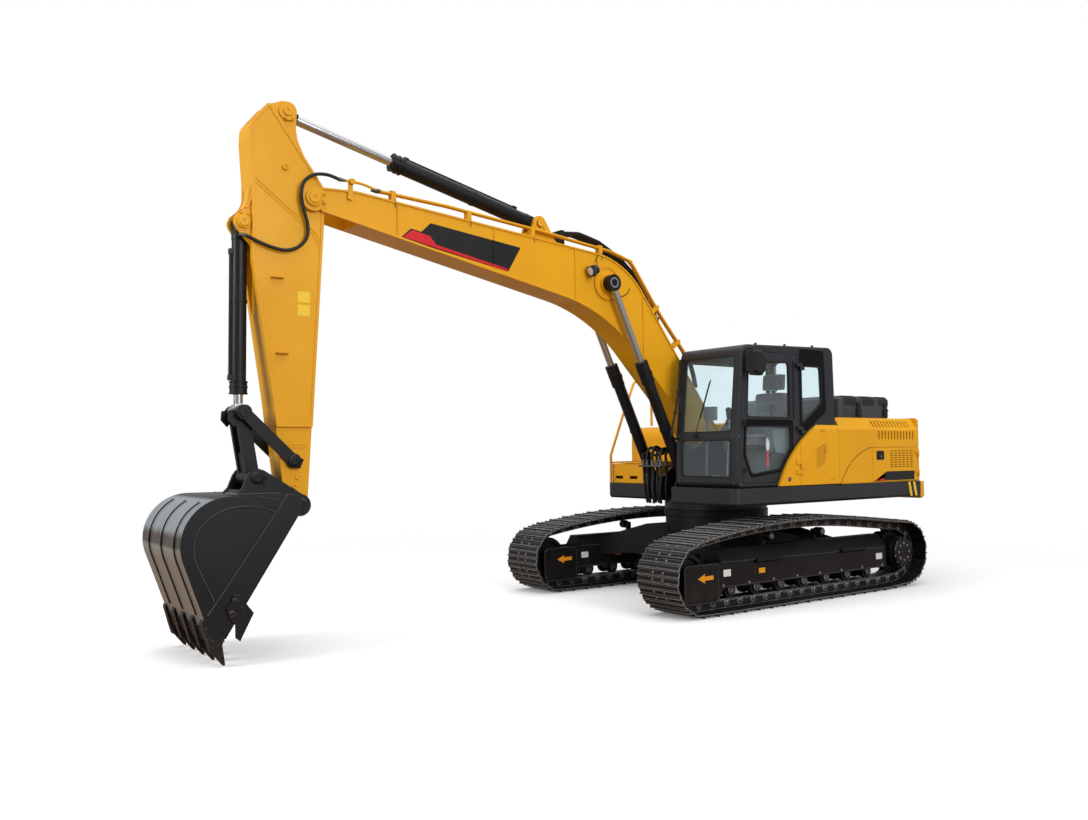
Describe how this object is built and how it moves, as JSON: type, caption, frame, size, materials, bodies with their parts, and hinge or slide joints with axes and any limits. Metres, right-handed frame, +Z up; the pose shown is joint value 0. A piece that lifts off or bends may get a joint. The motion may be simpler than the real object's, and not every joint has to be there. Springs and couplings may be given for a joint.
{
  "type": "crawler excavator",
  "caption": "Crawler excavator: tracked undercarriage, swinging upper body with cab, and a boom, arm and bucket moved by hydraulic cylinders.",
  "frame": {"origin": "middle of the whole machine's bounding box, at ground level", "axes": "+X forward along the boom, +Y towards the cab side, +Z up"},
  "size_m": [9.3897, 3, 4.931],
  "materials": {
    "yellow_paint": "satin",
    "charcoal_paint": "satin",
    "black_paint": "satin",
    "track_steel": "matte",
    "chrome_rod": "polished",
    "bucket_steel": "matte",
    "glass": "gloss",
    "seat_fabric": "matte",
    "black_rubber": "matte",
    "engine_iron": "matte",
    "pin_steel": "satin",
    "tooth_steel": "matte"
  },
  "bodies": {
    "undercarriage": {"track_left": "track_steel", "track_right": "track_steel", "track_frame_left": "black_paint", "track_frame_right": "black_paint", "rollers_left": "black_paint", "rollers_right": "black_paint", "final_drive_left": "black_paint", "final_drive_right": "black_paint", "undercarriage_frame": "black_paint", "slew_ring": "black_paint"},
    "upper": {"deck": "charcoal_paint", "frame_pins": "pin_steel", "counterweight": "yellow_paint", "engine": "engine_iron", "side_shell_left": "yellow_paint", "side_shell_right": "yellow_paint", "bulkhead": "black_paint", "tank": "yellow_paint", "toolbox": "yellow_paint", "handrail": "yellow_paint", "cab_shell": "charcoal_paint", "cab_glass": "glass", "cab_trim": "black_paint", "seat": "seat_fabric", "consoles": "black_paint"},
    "boom": {"boom": "yellow_paint", "boom_pins": "pin_steel", "boom_pipes": "yellow_paint", "boom_hoses": "black_rubber", "boom_lamp": "charcoal_paint"},
    "lift_barrel_left": {"lift_barrel_left": "black_paint"},
    "lift_rod_left": {"lift_rod_left": "chrome_rod"},
    "lift_barrel_right": {"lift_barrel_right": "black_paint"},
    "lift_rod_right": {"lift_rod_right": "chrome_rod"},
    "arm": {"arm": "yellow_paint", "arm_pins": "pin_steel", "arm_hose": "black_rubber"},
    "crowd_barrel": {"crowd_barrel": "black_paint"},
    "crowd_rod": {"crowd_rod": "chrome_rod"},
    "bucket": {"bucket": "bucket_steel", "bucket_pin": "pin_steel", "teeth": "tooth_steel"},
    "rockers": {"rockers": "black_paint"},
    "push_link": {"push_link": "black_paint"},
    "curl_barrel": {"curl_barrel": "black_paint"},
    "curl_rod": {"curl_rod": "chrome_rod"},
    "cab_door": {"cab_door": "charcoal_paint", "door_glass": "glass"},
    "radiator_door": {"radiator_door": "yellow_paint"},
    "fender_door": {"fender_door": "yellow_paint"},
    "pump_door": {"pump_door": "yellow_paint"},
    "hood": {"hood": "charcoal_paint"},
    "toolbox_lid": {"toolbox_lid": "yellow_paint"}
  },
  "joints": [
    {"name": "swing", "type": "hinge", "parent": "undercarriage", "child": "upper", "pos_m": [-1.975, 0, 1.08], "axis": [0, 0, 1], "continuous": true},
    {"name": "boom_pivot", "type": "hinge", "parent": "upper", "child": "boom", "pos_m": [-1.795, 0, 1.779], "axis": [0, -1, 0], "range_deg": [-70, 40]},
    {"name": "lift_pivot_left", "type": "hinge", "parent": "upper", "child": "lift_barrel_left", "pos_m": [-1.195, 0.262, 1.315], "axis": [0, -1, 0], "range_deg": [-71.45, 40.85]},
    {"name": "lift_stroke_left", "type": "slide", "parent": "lift_barrel_left", "child": "lift_rod_left", "axis": [0.4322, 0, 0.9018], "range_m": [-0.778, 0.445]},
    {"name": "lift_pivot_right", "type": "hinge", "parent": "upper", "child": "lift_barrel_right", "pos_m": [-1.195, -0.262, 1.315], "axis": [0, -1, 0], "range_deg": [-71.45, 40.85]},
    {"name": "lift_stroke_right", "type": "slide", "parent": "lift_barrel_right", "child": "lift_rod_right", "axis": [0.4322, 0, 0.9018], "range_m": [-0.778, 0.445]},
    {"name": "arm_pivot", "type": "hinge", "parent": "boom", "child": "arm", "pos_m": [3.407, 0, 4.063], "axis": [0, 1, 0], "range_deg": [-82, 33]},
    {"name": "crowd_pivot", "type": "hinge", "parent": "boom", "child": "crowd_barrel", "pos_m": [0.78, 0, 4.19], "axis": [0, 1, 0], "range_deg": [-1.69, 0.71]},
    {"name": "crowd_stroke", "type": "slide", "parent": "crowd_barrel", "child": "crowd_rod", "axis": [0.9747, 0, 0.2236], "range_m": [-0.985, 0.397]},
    {"name": "bucket_pivot", "type": "hinge", "parent": "arm", "child": "bucket", "pos_m": [3.54, 0, 1.258], "axis": [0, 1, 0], "range_deg": [-8, 160]},
    {"name": "rocker_pivot", "type": "hinge", "parent": "arm", "child": "rockers", "pos_m": [3.583, 0, 1.656], "axis": [0, 1, 0], "range_deg": [-5.81, 115.25]},
    {"name": "push_link_pivot", "type": "hinge", "parent": "bucket", "child": "push_link", "pos_m": [3.936, 0, 1.513], "axis": [0, 1, 0], "range_deg": [-105.65, 5.33]},
    {"name": "curl_pivot", "type": "hinge", "parent": "arm", "child": "curl_barrel", "pos_m": [4.028, 0, 3.776], "axis": [0, 1, 0], "range_deg": [-0.21, 3.25]},
    {"name": "curl_stroke", "type": "slide", "parent": "curl_barrel", "child": "curl_rod", "axis": [0.0036, 0, -1], "range_m": [-0.057, 1.121]},
    {"name": "cab_door_hinge", "type": "hinge", "parent": "upper", "child": "cab_door", "pos_m": [-2.02, 1.33, 1.95], "axis": [0, 0, 1], "range_deg": [0, 165]},
    {"name": "radiator_door_hinge", "type": "hinge", "parent": "upper", "child": "radiator_door", "pos_m": [-4.289, 1.354, 1.4], "axis": [0, 0, -1], "range_deg": [-100, 0]},
    {"name": "fender_door_hinge", "type": "hinge", "parent": "upper", "child": "fender_door", "pos_m": [-1.973, 1.354, 1.5], "axis": [0, 0, 1], "range_deg": [-100, 0]},
    {"name": "pump_door_hinge", "type": "hinge", "parent": "upper", "child": "pump_door", "pos_m": [-3.263, -1.354, 1.4], "axis": [0, 0, -1], "range_deg": [-100, 0]},
    {"name": "hood_hinge", "type": "hinge", "parent": "upper", "child": "hood", "pos_m": [-3.755, -0.714, 2.112], "axis": [1, 0, 0], "range_deg": [0, 65]},
    {"name": "toolbox_lid_hinge", "type": "hinge", "parent": "upper", "child": "toolbox_lid", "pos_m": [-1.759, -0.87, 1.558], "axis": [0, -1, 0], "range_deg": [0, 85]}
  ],
  "couplings": [
    {"joint": "lift_pivot_left", "follows": "boom_pivot", "ratio": 1.02},
    {"joint": "lift_stroke_left", "follows": "boom_pivot", "m_per_rad": 0.63598},
    {"joint": "lift_pivot_right", "follows": "boom_pivot", "ratio": 1.02},
    {"joint": "lift_stroke_right", "follows": "boom_pivot", "m_per_rad": 0.63598},
    {"joint": "crowd_pivot", "follows": "arm_pivot", "ratio": 0.02},
    {"joint": "crowd_stroke", "follows": "arm_pivot", "m_per_rad": 0.68755},
    {"joint": "rocker_pivot", "follows": "bucket_pivot", "ratio": 0.72},
    {"joint": "push_link_pivot", "follows": "bucket_pivot", "ratio": -0.66},
    {"joint": "curl_pivot", "follows": "bucket_pivot", "ratio": 0.02},
    {"joint": "curl_stroke", "follows": "bucket_pivot", "m_per_rad": 0.40107}
  ]
}
